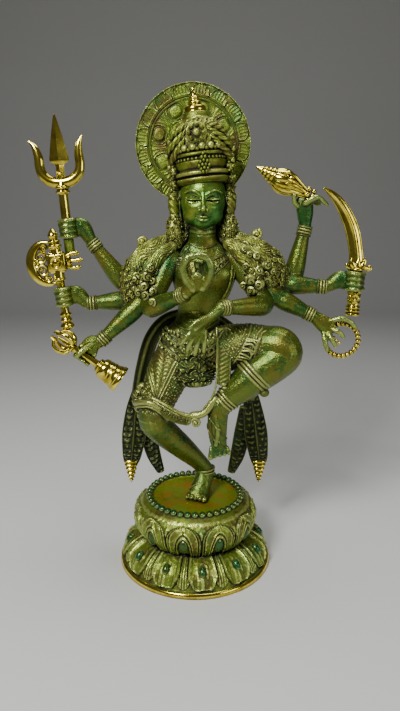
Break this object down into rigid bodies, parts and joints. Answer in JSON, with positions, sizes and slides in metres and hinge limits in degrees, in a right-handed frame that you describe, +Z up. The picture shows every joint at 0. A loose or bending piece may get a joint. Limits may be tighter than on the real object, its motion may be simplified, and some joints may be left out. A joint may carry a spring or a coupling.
{
  "type": "dancing shiva statue",
  "caption": "Cast bronze multi-armed dancing shiva with a round petalled halo and held attributes, standing on one leg on a round double-lotus pedestal.",
  "frame": {"origin": "centre of the pedestal's flat underside", "axes": "+Z up along the figure's height, the figure faces -Y, +X is the viewer's right"},
  "size_m": [0.3097, 0.15, 0.4509],
  "materials": {
    "patinated_bronze": "cast bronze with green and brown patina, dark in the recesses and rubbed on the high places",
    "polished_brass": "polished cast brass, slightly toned in the recesses"
  },
  "bodies": {
    "root": {"lotus_pedestal": "patinated_bronze", "figure": "patinated_bronze", "halo": "patinated_bronze", "trident": "polished_brass", "axe": "polished_brass", "bell": "polished_brass", "conch": "polished_brass", "sword": "polished_brass", "bead_ring": "polished_brass"}
  },
  "joints": []
}
